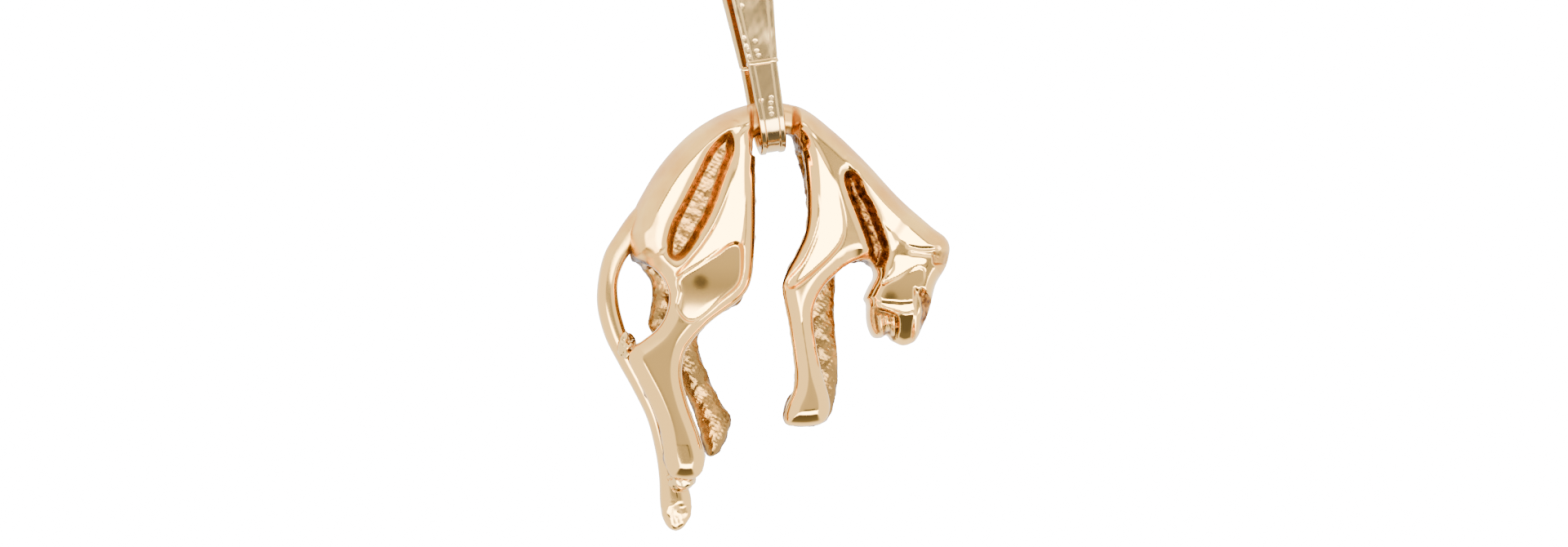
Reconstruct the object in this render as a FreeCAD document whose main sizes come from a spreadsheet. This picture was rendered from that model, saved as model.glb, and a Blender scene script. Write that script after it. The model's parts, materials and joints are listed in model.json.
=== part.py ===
import FreeCAD, Part
import os

# A cast gold big-cat pendant: two cast halves joined at the mid-plane, a tail soldered on,
# and a folded strap bail whose lower loop wraps round the waist bar so that the cat can swing.
#
# Millimetres, +Z up. The origin is the chain seat: the middle of the crown's inner surface,
# where the chain carries the bail. The cat faces +X and its near side faces -Y.
# Outlines of the cat are written about the swing centre, x to the right and z up.

doc = FreeCAD.newDocument("pendant")
sheet = doc.addObject("Spreadsheet::Sheet", "Sizes")

SIZES = [
    ("swing_x", 1.70, "swing centre, right of the chain seat"),
    ("swing_z", -10.46, "swing centre, height"),
    ("plan_scale", 1.0, "scale of every outline in its own plane"),
    ("half_depth", 2.70, "mid-plane to the outer face of a half"),
    ("leg_inset", 0.90, "mid-plane to the inner face of a leg"),
    ("head_cut", 1.00, "how far the head's side stands in from the outer face"),
    ("waist_cut", 1.65, "how far the waist bar stands in from the outer face"),
    ("groove_depth", 0.80, "depth of the haunch and shoulder grooves"),
    ("eye_depth", 0.45, "depth of the eye recess"),
    ("rim_round", 0.40, "rounding of the outer face's long edges"),
    ("tail_width", 1.30, "thickness of the tail, side to side"),
    ("tail_round", 0.25, "rounding of the tail"),
    ("bead_hock", 0.75, "radius of the solder at the hock"),
    ("bead_paw", 0.80, "radius of the solder under the hind paw"),
    ("crown_radius", 1.70, "inner radius of the bail's crown"),
    ("loop_radius", 1.45, "inner radius of the bail's lower loop"),
    ("strap_thick", 0.50, "thickness of the bail strip"),
    ("bail_length", 10.60, "chain seat to swing centre, along the bail"),
    ("seam_at", 7.55, "chain seat to the bail's soldered seam"),
    ("seam_gap", 0.24, "height of the solder in the seam"),
    ("seam_proud", 0.06, "how far the solder stands out of the strip"),
    ("crown_width", 2.90, "strip width at the crown"),
    ("seam_width", 1.70, "strip width at the seam"),
    ("loop_width", 1.42, "strip width of the lower loop"),
    ("strip_round", 0.10, "rounding of the strip's edges"),
    ("bail_lean", 9.20, "lean of the bail to the left, degrees"),
]
for row, (alias, value, note) in enumerate(SIZES, start=1):
    sheet.set("A%d" % row, alias)
    sheet.set("B%d" % row, str(value))
    sheet.set("C%d" % row, note)
    sheet.setAlias("B%d" % row, alias)
doc.recompute()


def size(alias):
    """One driving dimension from the sheet."""
    return float(getattr(sheet, alias))


# ---------------------------------------------------------------- outlines
# Each run is a smooth curve through its points; runs meet at corners.

BACK = [(-7.50, -5.45), (-7.10, -4.50), (-5.95, -2.60), (-4.50, -1.00), (-3.10, 0.00),
        (-1.60, 0.65), (0.00, 0.95), (1.85, 0.63), (3.60, -0.63), (5.40, -2.30),
        (7.20, -4.20), (9.00, -5.80), (10.10, -6.95)]
FACE = [(10.10, -6.95), (10.05, -7.90), (9.35, -9.05), (9.10, -9.95), (8.90, -10.70),
        (8.30, -12.05), (7.55, -12.45), (6.97, -12.24)]
JAW = [(6.97, -12.24), (6.61, -11.70), (6.34, -12.01), (5.89, -12.01), (5.58, -11.61),
       (5.49, -10.93), (5.54, -10.30)]
THROAT = [(5.54, -10.30), (5.35, -9.85), (5.65, -9.20), (5.90, -8.70), (5.80, -8.20),
          (5.40, -7.90), (4.75, -7.85), (4.10, -8.20)]

NEAR_FORE = [
    [(2.97, -9.27), (2.38, -10.53), (2.48, -12.20), (2.83, -13.99),
     (3.20, -15.30), (3.22, -16.16), (2.79, -16.79)],
    [(2.79, -16.79), (2.29, -16.92), (1.62, -16.96), (0.99, -16.88), (0.72, -16.52)],
    [(0.72, -16.52), (0.85, -15.79), (1.26, -14.85), (1.30, -13.54), (0.99, -11.29),
     (0.65, -9.50), (0.85, -8.55), (1.53, -7.38), (2.07, -6.12), (2.16, -4.32),
     (1.93, -2.29), (1.48, -0.94)],
]
FAR_FORE = [
    [(4.00, -9.20), (3.90, -10.10), (3.92, -11.34), (4.10, -13.50),
     (4.05, -14.71), (3.82, -15.84), (3.46, -16.56)],
    [(3.46, -16.56), (2.83, -16.83), (2.02, -16.92), (1.30, -16.79), (0.99, -16.38)],
    [(0.99, -16.38), (1.21, -15.48), (1.75, -14.67), (2.02, -13.37), (1.90, -11.34),
     (1.40, -9.40), (1.30, -8.40), (1.65, -7.30), (2.07, -6.12), (2.16, -4.32),
     (1.93, -2.29), (1.48, -0.94)],
]
NOTCH = [(1.48, -0.94), (1.20, -0.72), (0.60, -0.80), (0.00, -0.84), (-0.50, -0.84),
         (-0.86, -1.10)]
NEAR_HIND = [
    [(-0.86, -1.10), (-0.90, -2.75), (-0.86, -4.77), (-0.90, -7.02), (-1.10, -9.00),
     (-1.65, -9.99), (-2.52, -10.66), (-3.42, -11.34), (-4.23, -12.20), (-4.72, -13.00),
     (-4.86, -14.22), (-4.54, -15.66), (-3.92, -17.37), (-3.60, -18.54), (-3.65, -19.30),
     (-3.96, -19.75)],
    [(-3.96, -19.75), (-4.54, -19.93), (-5.13, -19.89), (-5.62, -19.62)],
    [(-5.62, -19.62), (-5.85, -18.81), (-6.08, -17.23), (-6.61, -15.79), (-7.25, -14.54),
     (-7.70, -13.68), (-7.80, -13.14), (-7.47, -12.60)],
    [(-7.47, -12.60), (-6.84, -12.15), (-6.21, -11.61), (-5.76, -10.89), (-5.58, -9.95),
     (-5.80, -9.09), (-6.40, -8.37), (-7.00, -7.98), (-7.50, -7.80)],
]
FAR_HIND = [
    [(-0.86, -1.10), (-0.90, -2.75), (-0.86, -4.77), (-0.90, -7.02), (-1.21, -9.81),
     (-2.11, -10.48), (-3.01, -11.16), (-3.70, -11.90), (-3.70, -12.75), (-3.01, -14.40),
     (-2.29, -15.71), (-1.93, -16.10), (-1.89, -16.90), (-2.29, -18.00), (-2.65, -18.54)],
    [(-2.65, -18.54), (-2.90, -18.60), (-3.20, -18.50), (-3.35, -18.20)],
    [(-3.35, -18.20), (-3.60, -17.19), (-4.05, -15.84), (-4.72, -14.49), (-5.54, -13.50),
     (-6.05, -12.96), (-6.20, -12.42), (-6.08, -11.79)],
    [(-6.08, -11.79), (-5.76, -10.89), (-5.60, -9.95), (-5.80, -9.09), (-6.40, -8.37),
     (-7.00, -7.98), (-7.50, -7.80)],
]

REAR_HOLLOW = [(-6.60, -6.90), (-5.20, -3.60), (-3.30, -1.80), (-1.75, -1.80),
               (-1.75, -7.60), (-0.20, -9.00), (-0.20, -20.60), (-8.60, -20.60),
               (-8.60, -9.00), (-6.60, -8.60)]
FRONT_HOLLOW = [(3.00, -2.30), (3.60, -2.30), (4.60, -3.80), (5.10, -6.20), (4.30, -7.30),
                (4.60, -17.60), (0.00, -17.60), (0.00, -9.40), (1.60, -8.40),
                (3.00, -6.40)]
HEAD_SIDE = [(5.90, -6.60), (7.20, -5.60), (8.20, -4.40), (11.20, -6.40), (11.20, -13.20),
             (4.90, -13.20), (4.90, -9.70)]
WAIST_SIDE = [(-1.30, 1.60), (-1.30, -1.60), (1.60, -1.60), (1.60, 1.60)]
HIP_GROOVE = [(-2.25, -0.90), (-2.05, -1.60), (-2.50, -3.05), (-3.20, -4.75),
              (-4.10, -6.55), (-4.85, -7.80), (-5.50, -7.95), (-5.75, -7.25),
              (-5.30, -5.65), (-4.40, -3.95), (-3.65, -2.50), (-2.90, -1.25)]
SHOULDER_GROOVE = [(4.15, -2.90), (4.65, -3.05), (5.15, -4.15), (5.80, -5.60),
                   (6.40, -6.95), (6.42, -7.70), (6.00, -7.95), (5.45, -7.40),
                   (5.05, -6.55), (4.45, -5.30), (4.00, -4.25), (3.85, -3.40)]
EYE = [(8.10, -9.25), (8.70, -9.60), (8.95, -9.95), (8.75, -10.80), (8.35, -11.55),
       (8.20, -10.60)]
# One point on each long edge of the outer face that is rounded over.
ROUNDED_AT = [(-4.50, -1.00), (5.40, -2.30), (-0.90, -5.00), (2.16, -4.32),
              (-4.10, -6.55), (4.45, -5.30)]
TAIL_SEAT = [(-7.50, -7.80), (-7.50, -5.45)]
TAIL_OUTER = [(-7.50, -5.45), (-8.55, -6.84), (-9.20, -8.64), (-9.43, -10.44),
              (-8.98, -12.11), (-8.21, -13.46), (-7.27, -15.25), (-6.45, -16.83),
              (-6.05, -18.63), (-6.00, -21.11), (-5.74, -22.32), (-5.05, -22.72)]
TAIL_INNER = [(-5.05, -22.72), (-4.45, -22.32), (-4.15, -21.30), (-4.10, -20.30),
              (-4.60, -19.60), (-5.10, -18.63), (-5.60, -16.83), (-6.28, -14.80),
              (-7.04, -13.23), (-7.63, -11.75), (-8.10, -10.53), (-8.26, -8.96),
              (-8.00, -8.20), (-7.50, -7.80)]


# ---------------------------------------------------------------- helpers
def vec(point):
    """A sketch point from an outline point."""
    scale = size("plan_scale")
    return FreeCAD.Vector(point[0] * scale, point[1] * scale, 0)


def run_curve(points):
    """A line for two points, a smooth curve through three or more."""
    if len(points) == 2:
        return Part.LineSegment(vec(points[0]), vec(points[1]))
    curve = Part.BSplineCurve()
    curve.interpolate([vec(p) for p in points])
    return curve


def closed_curve(points):
    """One smooth closed curve through the points."""
    curve = Part.BSplineCurve()
    curve.interpolate([vec(p) for p in points], PeriodicFlag=True)
    return curve


def polygon(points):
    """Straight sides joining the points in order."""
    ends = points[1:] + points[:1]
    return [Part.LineSegment(vec(a), vec(b)) for a, b in zip(points, ends)]


def new_body(name, placement=None):
    """A PartDesign body that is one node."""
    body = doc.addObject("PartDesign::Body", name)
    body.Label = name
    if placement is not None:
        body.Placement = placement
    return body


def new_sketch(body, name, role, curves):
    """A sketch of curves on one of the body's own origin planes."""
    sketch = body.newObject("Sketcher::SketchObject", name)
    plane = [f for f in body.Origin.OriginFeatures if f.Role == role][0]
    sketch.AttachmentSupport = [(plane, "")]
    sketch.MapMode = "FlatFace"
    sketch.addGeometry(curves, False)
    return sketch


def lift(sketch, offset):
    """Move a sketch off its plane along its own normal."""
    sketch.setExpression("AttachmentOffset.Base.z", offset)


def add_pad(body, name, sketch, length, backwards=False, both=False):
    """Pad a sketch by a length given in sheet words."""
    pad = body.newObject("PartDesign::Pad", name)
    pad.Profile = sketch
    pad.setExpression("Length", length)
    pad.Reversed = backwards
    pad.Midplane = both
    sketch.Visibility = False
    doc.recompute()
    return pad


def add_pocket(body, name, sketch, length, backwards=False, both=False):
    """Cut a sketch by a length given in sheet words and check that it removed metal."""
    before = body.Shape.Volume
    pocket = body.newObject("PartDesign::Pocket", name)
    pocket.Profile = sketch
    pocket.setExpression("Length", length)
    pocket.Reversed = backwards
    pocket.Midplane = both
    sketch.Visibility = False
    doc.recompute()
    if body.Shape.Volume > before - 1e-4:
        raise RuntimeError("%s removed nothing" % name)
    return pocket


def add_round(body, name, base, edges, radius):
    """Round edges of a feature by a radius given in sheet words."""
    fillet = body.newObject("PartDesign::Fillet", name)
    fillet.Base = (base, edges)
    fillet.setExpression("Radius", radius)
    doc.recompute()
    return fillet


def edges_where(shape, test):
    """Names of the edges whose points all pass a test."""
    names = []
    for number, edge in enumerate(shape.Edges, start=1):
        if all(test(p) for p in edge.discretize(7)):
            names.append("Edge%d" % number)
    return names


SWING = FreeCAD.Placement(FreeCAD.Vector(size("swing_x"), 0, size("swing_z")),
                          FreeCAD.Rotation())
BAIL = FreeCAD.Placement(FreeCAD.Vector(0, 0, 0),
                         FreeCAD.Rotation(FreeCAD.Vector(0, 1, 0), -size("bail_lean")))


# ---------------------------------------------------------------- cast halves
def cast_half(name, side, fore, hind):
    """One cast half: outline, rounded rim, hollow between the legs, slim head, grooves."""
    far = side > 0
    body = new_body(name, SWING)
    runs = [BACK, FACE, JAW, THROAT + fore[0]] + fore[1:] + [NOTCH] + hind + [TAIL_SEAT]
    outline = new_sketch(body, name + "_outline", "XZ_Plane", [run_curve(r) for r in runs])
    add_pad(body, name + "_pad", outline, "Sizes.half_depth", backwards=far)
    cut_outer(body, name, far, "head_side", polygon(HEAD_SIDE), "Sizes.head_cut")
    cut_outer(body, name, far, "waist_side", polygon(WAIST_SIDE), "Sizes.waist_cut")
    cut_outer(body, name, far, "hip_groove", [closed_curve(HIP_GROOVE)],
              "Sizes.groove_depth")
    cut_outer(body, name, far, "shoulder_groove", [closed_curve(SHOULDER_GROOVE)],
              "Sizes.groove_depth")
    cut_outer(body, name, far, "eye", [closed_curve(EYE)],
              "Sizes.head_cut + Sizes.eye_depth")
    for part, points in (("rear_hollow", REAR_HOLLOW), ("front_hollow", FRONT_HOLLOW)):
        hollow = new_sketch(body, name + "_" + part, "XZ_Plane", polygon(points))
        add_pocket(body, name + "_" + part + "_cut", hollow, "Sizes.leg_inset",
                   backwards=not far)
    round_rim(body, name, side)
    return body


def round_rim(body, name, side):
    """Round the long edges of the outer face: back, thigh, foreleg and groove lips."""
    base = body.Tip
    face_y = side * size("half_depth")
    outer = edges_where(base.Shape, lambda p: abs(p.y - face_y) < 1e-3)
    chosen = []
    for x, z in ROUNDED_AT:
        point = Part.Vertex(x, face_y, z)
        chosen.append(min(outer, key=lambda e: base.Shape.getElement(e).distToShape(point)[0]))
    add_round(body, name + "_rim", base, chosen, "Sizes.rim_round")


def cut_outer(body, name, far, part, curves, depth):
    """Cut a region from the outer face of a half towards the mid-plane."""
    sketch = new_sketch(body, name + "_" + part, "XZ_Plane", curves)
    lift(sketch, "-Sizes.half_depth" if far else "Sizes.half_depth")
    add_pocket(body, name + "_" + part + "_cut", sketch, depth, backwards=far)


near_half = cast_half("near_half", -1, NEAR_FORE, NEAR_HIND)
far_half = cast_half("far_half", 1, FAR_FORE, FAR_HIND)


# ---------------------------------------------------------------- tail and solder
def cut_by(name, base, tools):
    """A node left when its raw shape is cut by the pieces it sits against."""
    last = base
    for number, tool in enumerate(tools):
        cut = doc.addObject("Part::Cut", "%s_cut%d" % (name, number))
        cut.Base = last
        cut.Tool = tool
        last = cut
    doc.recompute()
    last.Label = name
    return last


def make_tail():
    """The tail, from its seat on the rump round to the tip below the near hind paw."""
    body = new_body("tail", SWING)
    curves = [run_curve(TAIL_OUTER), run_curve(TAIL_INNER), run_curve(TAIL_SEAT)]
    outline = new_sketch(body, "tail_outline", "XZ_Plane", curves)
    pad = add_pad(body, "tail_pad", outline, "Sizes.tail_width", both=True)
    half = size("tail_width") / 2
    sides = edges_where(pad.Shape, lambda p: abs(abs(p.y) - half) < 1e-3)
    sides = [e for e in sides if pad.Shape.getElement(e).Length > 2]
    add_round(body, "tail_sides", pad, sides, "Sizes.tail_round")
    return body


def bead(name, centre, radius):
    """A ball of solder about a point given from the swing centre."""
    ball = doc.addObject("Part::Sphere", name)
    ball.setExpression("Radius", radius)
    ball.Placement = FreeCAD.Placement(FreeCAD.Vector(*centre) + SWING.Base,
                                       FreeCAD.Rotation())
    return ball


tail = make_tail()
hock_solder = cut_by("hock_solder", bead("hock_ball", (-7.75, -0.75, -12.45),
                                         "Sizes.bead_hock"), [near_half, tail])
paw_solder = cut_by("paw_solder", bead("paw_ball", (-4.75, -0.85, -20.15),
                                       "Sizes.bead_paw"), [near_half, tail])


# ---------------------------------------------------------------- bail
def bent_strip(arc_z, arc_gap, foot_z, foot_gap, turn):
    """Side view of a bent strip: two arcs, four leg lines and two feet, y across, z up."""
    thick = size("strap_thick")
    curves = []
    for wall in (0, thick):
        gap = arc_gap + wall
        foot = foot_gap + wall
        curves.append(Part.Arc(FreeCAD.Vector(-gap, arc_z, 0),
                               FreeCAD.Vector(0, arc_z + turn * gap, 0),
                               FreeCAD.Vector(gap, arc_z, 0)))
        for sign in (-1, 1):
            curves.append(Part.LineSegment(FreeCAD.Vector(sign * gap, arc_z, 0),
                                           FreeCAD.Vector(sign * foot, foot_z, 0)))
    for sign in (-1, 1):
        curves.append(Part.LineSegment(FreeCAD.Vector(sign * foot_gap, foot_z, 0),
                                       FreeCAD.Vector(sign * (foot_gap + thick), foot_z, 0)))
    return curves


def bail_strap():
    """The upper strip: folded over at the crown, narrowing down to its two feet."""
    body = new_body("bail_strap", BAIL)
    foot_z = -(size("seam_at") - size("seam_gap") / 2)
    side = bent_strip(-size("crown_radius"), size("crown_radius"), foot_z,
                      size("loop_radius"), 1)
    profile = new_sketch(body, "strap_side", "YZ_Plane", side)
    add_pad(body, "strap_pad", profile, "Sizes.crown_width", both=True)
    wide = size("crown_width")
    top = size("strap_thick")
    waste = polygon([(-wide, top + 1), (wide, top + 1), (wide, foot_z - 1),
                     (-wide, foot_z - 1)])
    keep = polygon([(-wide / 2, top + 0.5), (wide / 2, top + 0.5),
                    (size("seam_width") / 2, foot_z), (size("seam_width") / 2, foot_z - 0.5),
                    (-size("seam_width") / 2, foot_z - 0.5),
                    (-size("seam_width") / 2, foot_z)])
    taper = new_sketch(body, "strap_taper", "XZ_Plane", waste + keep)
    add_pocket(body, "strap_taper_cut", taper, "Sizes.bail_length", both=True)
    round_long_edges(body, "strap_edges", foot_z)
    return body


def bail_loop():
    """The lower loop: a narrow U that passes under the waist bar."""
    body = new_body("bail_loop", BAIL)
    foot_z = -(size("seam_at") + size("seam_gap") / 2)
    side = bent_strip(-size("bail_length"), size("loop_radius"), foot_z,
                      size("loop_radius"), -1)
    profile = new_sketch(body, "loop_side", "YZ_Plane", side)
    add_pad(body, "loop_pad", profile, "Sizes.loop_width", both=True)
    round_long_edges(body, "loop_edges", foot_z)
    return body


def round_long_edges(body, name, foot_z):
    """Round every edge that runs along a strip, leaving the feet square for the seam."""
    base = body.Tip
    names = edges_where(base.Shape, lambda p: abs(p.x) > 0.5)
    across = edges_where(base.Shape, lambda p: abs(p.z - foot_z) < 1e-3)
    add_round(body, name, base, [n for n in names if n not in across], "Sizes.strip_round")


def seam_solder(name, sign):
    """The solder between a foot of the strap and the loop's end, a little proud all round."""
    body = new_body(name, BAIL)
    proud = size("seam_proud")
    half_x = size("seam_width") / 2 + proud
    inner = size("loop_radius") - proud
    outer = size("loop_radius") + size("strap_thick") + proud
    corners = [(-half_x, sign * inner), (half_x, sign * inner), (half_x, sign * outer),
               (-half_x, sign * outer)]
    plan = new_sketch(body, name + "_plan", "XY_Plane", polygon(corners))
    plan.setExpression("AttachmentOffset.Base.z", "-Sizes.seam_at")
    pad = add_pad(body, name + "_pad", plan, "Sizes.seam_gap", both=True)
    upright = edges_where(pad.Shape, lambda p: True)
    add_round(body, name + "_edges", pad, upright, "Sizes.seam_proud")
    return body


NODES = [near_half, far_half, tail, hock_solder, paw_solder, bail_strap(), bail_loop(),
         seam_solder("front_seam_solder", -1), seam_solder("rear_seam_solder", 1)]


# ---------------------------------------------------------------- checks and files
doc.recompute()
for item in doc.Objects:
    if any(state in ("Invalid", "Error") for state in item.State):
        raise RuntimeError("%s: %s" % (item.Name, item.State))
os.makedirs("parts", exist_ok=True)
for node in NODES:
    shape = node.Shape
    if shape.isNull() or not shape.isValid() or len(shape.Solids) != 1:
        raise RuntimeError("%s: not one valid solid" % node.Label)
    shape.exportStep("parts/%s.step" % node.Label)
    box = shape.BoundBox
    print("%-18s %8.2f mm3  x %.2f..%.2f  y %.2f..%.2f  z %.2f..%.2f" % (
        node.Label, shape.Volume, box.XMin, box.XMax, box.YMin, box.YMax, box.ZMin,
        box.ZMax))
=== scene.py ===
"""The looks of a cast gold big-cat pendant that hangs from a folded strap bail.

Lengths in the classes are millimetres about the row frame's origin, the chain seat, unless a
docstring says that they are measured from the swing centre. Meshes are written in metres.
"""

import json
import logging
import math
from dataclasses import dataclass
from enum import Enum
from typing import Callable, Sequence

import bpy
import numpy as np
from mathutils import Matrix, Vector


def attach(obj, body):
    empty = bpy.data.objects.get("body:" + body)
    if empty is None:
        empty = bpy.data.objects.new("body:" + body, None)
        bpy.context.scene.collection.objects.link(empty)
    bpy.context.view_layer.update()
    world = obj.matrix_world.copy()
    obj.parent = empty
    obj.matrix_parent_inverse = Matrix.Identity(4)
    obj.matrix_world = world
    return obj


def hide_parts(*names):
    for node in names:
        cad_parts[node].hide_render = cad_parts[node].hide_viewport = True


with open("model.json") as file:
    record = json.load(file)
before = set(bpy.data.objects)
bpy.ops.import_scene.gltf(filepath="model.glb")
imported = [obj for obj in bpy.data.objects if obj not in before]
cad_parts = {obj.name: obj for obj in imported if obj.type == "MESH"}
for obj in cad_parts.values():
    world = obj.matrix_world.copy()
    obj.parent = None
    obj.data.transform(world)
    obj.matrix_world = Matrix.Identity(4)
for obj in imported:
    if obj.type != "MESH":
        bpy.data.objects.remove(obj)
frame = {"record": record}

logging.basicConfig(level=logging.INFO, format="%(message)s")
LOG = logging.getLogger("pendant")

MM = 0.001
JOINT = frame["record"]["behaviour"]["joints"][0]
SWING = tuple(1000.0 * v for v in JOINT["pos_m"])
LEAN = math.atan2(JOINT["axis"][2], JOINT["axis"][0])
Points = Sequence[tuple[float, float]]


class Side(Enum):
    """Which side of the mid-plane a cast half is on; the value is the sign of its Y."""

    NEAR = -1
    FAR = 1


# ---------------------------------------------------------------- curves and plane fields
def smooth_run(points: Points, per_span: int = 8, closed: bool = False) -> np.ndarray:
    """Points along a smooth curve through the given points.

    Each span is a Catmull-Rom cubic: 0.5 * (2 b + (c - a) t + (2 a - 5 b + 4 c - d) t^2
    + (3 b - 3 c + d - a) t^3) for neighbours a, b, c, d.

    Args:
        points: the points to pass through.
        per_span: samples in each span.
        closed: whether the last point joins the first.

    Returns:
        An array (n, dimensions) of samples; an open run includes its last point.
    """
    p = np.asarray(points, float)
    if closed:
        a, b, c, d = (np.roll(p, s, axis=0) for s in (1, 0, -1, -2))
    else:
        padded = np.vstack([2 * p[0] - p[1], p, 2 * p[-1] - p[-2]])
        a, b, c, d = padded[:-3], padded[1:-2], padded[2:-1], padded[3:]
    t = (np.arange(per_span) / per_span)[None, :, None]
    a, b, c, d = (q[:, None, :] for q in (a, b, c, d))
    body = 0.5 * (2 * b + (c - a) * t + (2 * a - 5 * b + 4 * c - d) * t**2
                  + (3 * b - 3 * c + d - a) * t**3)
    body = body.reshape(-1, p.shape[1])
    return body if closed else np.vstack([body, p[-1]])


def ease(t: np.ndarray) -> np.ndarray:
    """Smooth step: 0 below 0, 1 above 1, 3 t^2 - 2 t^3 between."""
    t = np.clip(t, 0.0, 1.0)
    return t * t * (3.0 - 2.0 * t)


@dataclass(frozen=True)
class Plane:
    """A regular grid over the cat's own plane, x right and z up from the swing centre."""

    low: tuple[float, float]
    high: tuple[float, float]
    pitch: float

    def shape(self) -> tuple[int, int]:
        """The number of grid points along x and z."""
        return tuple(int((h - l) / self.pitch) + 2 for l, h in zip(self.low, self.high))

    def points(self) -> tuple[np.ndarray, np.ndarray]:
        """The x and z of every grid point.

        Returns:
            Two arrays of the grid's shape.
        """
        nx, nz = self.shape()
        x = self.low[0] + self.pitch * np.arange(nx)
        z = self.low[1] + self.pitch * np.arange(nz)
        return np.meshgrid(x, z, indexing="ij")

    def sample(self, field: np.ndarray, x: np.ndarray, z: np.ndarray) -> np.ndarray:
        """Bilinear value of a field at any points.

        Args:
            field: an array of the grid's shape.
            x: x of the points.
            z: z of the points.

        Returns:
            The value at each point; points off the grid take the edge's value.
        """
        nx, nz = field.shape
        u = np.clip((x - self.low[0]) / self.pitch, 0, nx - 1.001)
        v = np.clip((z - self.low[1]) / self.pitch, 0, nz - 1.001)
        i, j = u.astype(int), v.astype(int)
        fu, fv = u - i, v - j
        return ((1 - fu) * (1 - fv) * field[i, j] + fu * (1 - fv) * field[i + 1, j]
                + (1 - fu) * fv * field[i, j + 1] + fu * fv * field[i + 1, j + 1])

    def distance(self, run: np.ndarray, closed: bool = False,
                 reach: float = 2.0) -> np.ndarray:
        """Distance from every grid point to a run of short straight pieces.

        Args:
            run: the corner points in order.
            closed: whether the last corner joins the first; the distance is then signed,
                positive inside.
            reach: how far outside the run's own box the distance is worked out; farther
                points take this value.

        Returns:
            An array of the grid's shape.
        """
        a = run
        b = np.roll(run, -1, axis=0)
        if not closed:
            a, b = a[:-1], b[:-1]
        gx, gz = self.points()
        spans = [slice(max(int((low - base - reach) / self.pitch), 0),
                       max(int((high - base + reach) / self.pitch) + 2, 0))
                 for low, high, base in zip(run.min(0), run.max(0), self.low)]
        field = np.full(gx.shape, -reach if closed else reach)
        wx, wz = gx[spans[0], spans[1]], gz[spans[0], spans[1]]
        rows = [self._strip(wx[i:i + 16], wz[i:i + 16], a, b, closed)
                for i in range(0, wx.shape[0], 16)]
        field[spans[0], spans[1]] = np.concatenate(rows, axis=0)
        return field

    @staticmethod
    def _strip(gx: np.ndarray, gz: np.ndarray, a: np.ndarray, b: np.ndarray,
               closed: bool) -> np.ndarray:
        """Distances for one strip of the grid.

        Args:
            gx: x of the strip's points.
            gz: z of the strip's points.
            a: start of each straight piece.
            b: end of each straight piece.
            closed: whether to sign the distance by an even-odd crossing count.

        Returns:
            The strip's distances.
        """
        px, pz = gx[..., None], gz[..., None]
        ex, ez = b[:, 0] - a[:, 0], b[:, 1] - a[:, 1]
        qx, qz = px - a[:, 0], pz - a[:, 1]
        t = np.clip((qx * ex + qz * ez) / (ex * ex + ez * ez + 1e-12), 0, 1)
        dist = np.sqrt(((qx - t * ex) ** 2 + (qz - t * ez) ** 2).min(-1))
        if not closed:
            return dist
        spans = (a[:, 1] > pz) != (b[:, 1] > pz)
        cross = a[:, 0] + (pz - a[:, 1]) * ex / np.where(ez == 0, 1e-12, ez)
        odd = (spans & (px < cross)).sum(-1) % 2 == 1
        return np.where(odd, dist, -dist)

    def region(self, points: Points, soft: float, curved: bool = True) -> np.ndarray:
        """A mask that is 1 inside an outline and falls to 0 over the soft width outside it."""
        run = smooth_run(points, 5, closed=True) if curved else np.asarray(points, float)
        return ease(self.distance(run, closed=True, reach=soft + 0.1) / soft + 1.0)

    def blur(self, field: np.ndarray, radius: float) -> np.ndarray:
        """A field smoothed by a Gaussian, exp(-r^2 / 2 radius^2).

        Args:
            field: an array of the grid's shape.
            radius: the Gaussian's standard deviation.

        Returns:
            The smoothed field.
        """
        reach = int(3 * radius / self.pitch) + 1
        k = np.arange(-reach, reach + 1)
        weight = np.exp(-0.5 * (k * self.pitch / radius) ** 2)
        weight /= weight.sum()
        for axis in (0, 1):
            pad = [(reach, reach) if n == axis else (0, 0) for n in (0, 1)]
            wide = np.pad(field, pad, mode="edge")
            window = np.lib.stride_tricks.sliding_window_view(wide, 2 * reach + 1, axis=axis)
            field = window @ weight
        return field


# ---------------------------------------------------------------- meshes
def surface_net(values: np.ndarray, low: np.ndarray,
                pitch: float) -> tuple[np.ndarray, np.ndarray]:
    """The closed surface where a sampled solid changes sign, one point to a crossed cell.

    Each crossed cell's point is the mean of the crossings on its edges, and each crossed
    grid edge gives one four-sided face through the four cells round it.

    Args:
        values: a 3-D array, positive inside the solid, negative at its border.
        low: the first sample's place.
        pitch: the spacing.

    Returns:
        Points (n, 3) and faces (m, 4), wound to face outward.
    """
    inside = values > 0
    corner = np.array([(i, j, k) for i in (0, 1) for j in (0, 1) for k in (0, 1)])
    count = sum(inside[i:inside.shape[0] - 1 + i, j:inside.shape[1] - 1 + j,
                       k:inside.shape[2] - 1 + k].astype(np.int8) for i, j, k in corner)
    cells = np.argwhere((count > 0) & (count < 8))
    index = np.full(count.shape, -1, np.int64)
    index[tuple(cells.T)] = np.arange(len(cells))
    pairs = [(a, b) for a in range(8) for b in range(a + 1, 8)
             if np.abs(corner[a] - corner[b]).sum() == 1]
    at = cells[:, None, :] + corner[None]
    v = values[at[..., 0], at[..., 1], at[..., 2]]
    total = np.zeros((len(cells), 3))
    hits = np.zeros(len(cells))
    for a, b in pairs:
        va, vb = v[:, a], v[:, b]
        crossed = (va > 0) != (vb > 0)
        t = np.where(crossed, va / np.where(va == vb, 1, va - vb), 0)
        point = corner[a] + t[:, None] * (corner[b] - corner[a])
        total += np.where(crossed[:, None], point, 0)
        hits += crossed
    points = low + pitch * (cells + total / hits[:, None])
    faces = [net_faces(inside, index, axis) for axis in range(3)]
    return points, np.concatenate(faces)


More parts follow.
